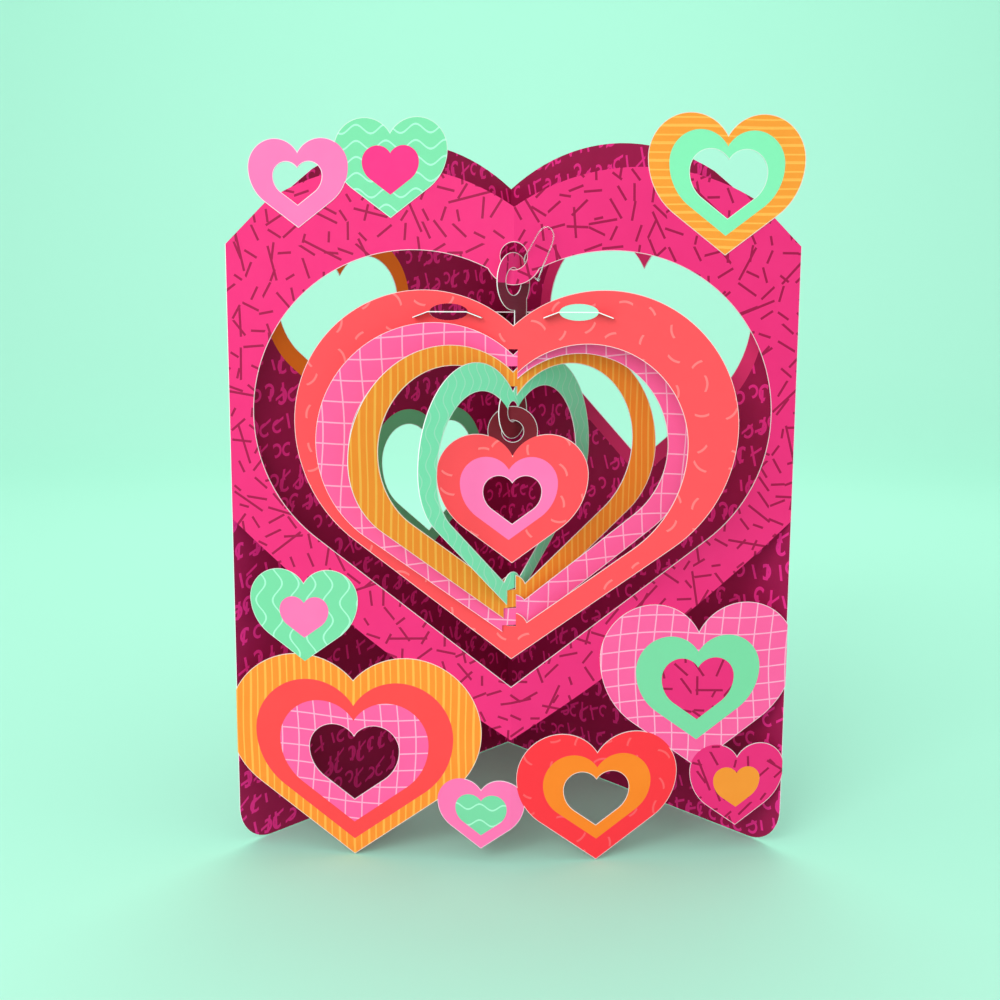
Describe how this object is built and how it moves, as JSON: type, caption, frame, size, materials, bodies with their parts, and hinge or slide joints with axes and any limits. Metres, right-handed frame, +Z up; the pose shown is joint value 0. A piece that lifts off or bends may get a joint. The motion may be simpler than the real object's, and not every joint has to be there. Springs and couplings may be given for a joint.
{
  "type": "pop up card",
  "caption": "Folded paper pop up card with a heart window frame, slotted swivelling heart rings, a linked centre heart and a strip of hearts",
  "frame": {"origin": "middle of the bounding box in plan, on the ground", "axes": "+Z up, -Y is the front of the card, +X to the viewer's right"},
  "size_m": [0.1676, 0.1518, 0.2203],
  "materials": {
    "cover_card": "matte",
    "frame_card": "matte",
    "strip_card": "matte",
    "coral_card": "matte",
    "pink_card": "matte",
    "orange_card": "matte",
    "green_card": "matte",
    "clear_thread": "gloss"
  },
  "bodies": {
    "card": {"back_cover": "cover_card", "front_frame": "frame_card", "hearts_strip": "strip_card", "top_left_hearts": "pink_card", "top_right_heart": "orange_card", "coral_ring": "coral_card", "hanger_tab": "cover_card", "support_strap": "cover_card", "thread_loop": "clear_thread", "thread_knot": "clear_thread"},
    "pink": {"pink_ring": "pink_card"},
    "orange": {"orange_ring": "orange_card"},
    "green": {"green_ring": "green_card"},
    "centre": {"centre_heart": "coral_card"}
  },
  "joints": [
    {"name": "pink_swivel", "type": "hinge", "parent": "card", "child": "pink", "pos_m": [0, -0.03504, 0.11], "axis": [0, 0, 1], "range_deg": [-4, 35]},
    {"name": "orange_swivel", "type": "hinge", "parent": "pink", "child": "orange", "pos_m": [0, -0.03504, 0.11], "axis": [0, 0, 1], "range_deg": [-5, 35]},
    {"name": "green_swivel", "type": "hinge", "parent": "orange", "child": "green", "pos_m": [0, -0.03504, 0.11], "axis": [0, 0, 1], "range_deg": [-12, 30]},
    {"name": "centre_swing", "type": "hinge", "parent": "green", "child": "centre", "pos_m": [0, -0.03504, 0.1336], "axis": [1, 0, 0], "range_deg": [-20, 20]}
  ]
}
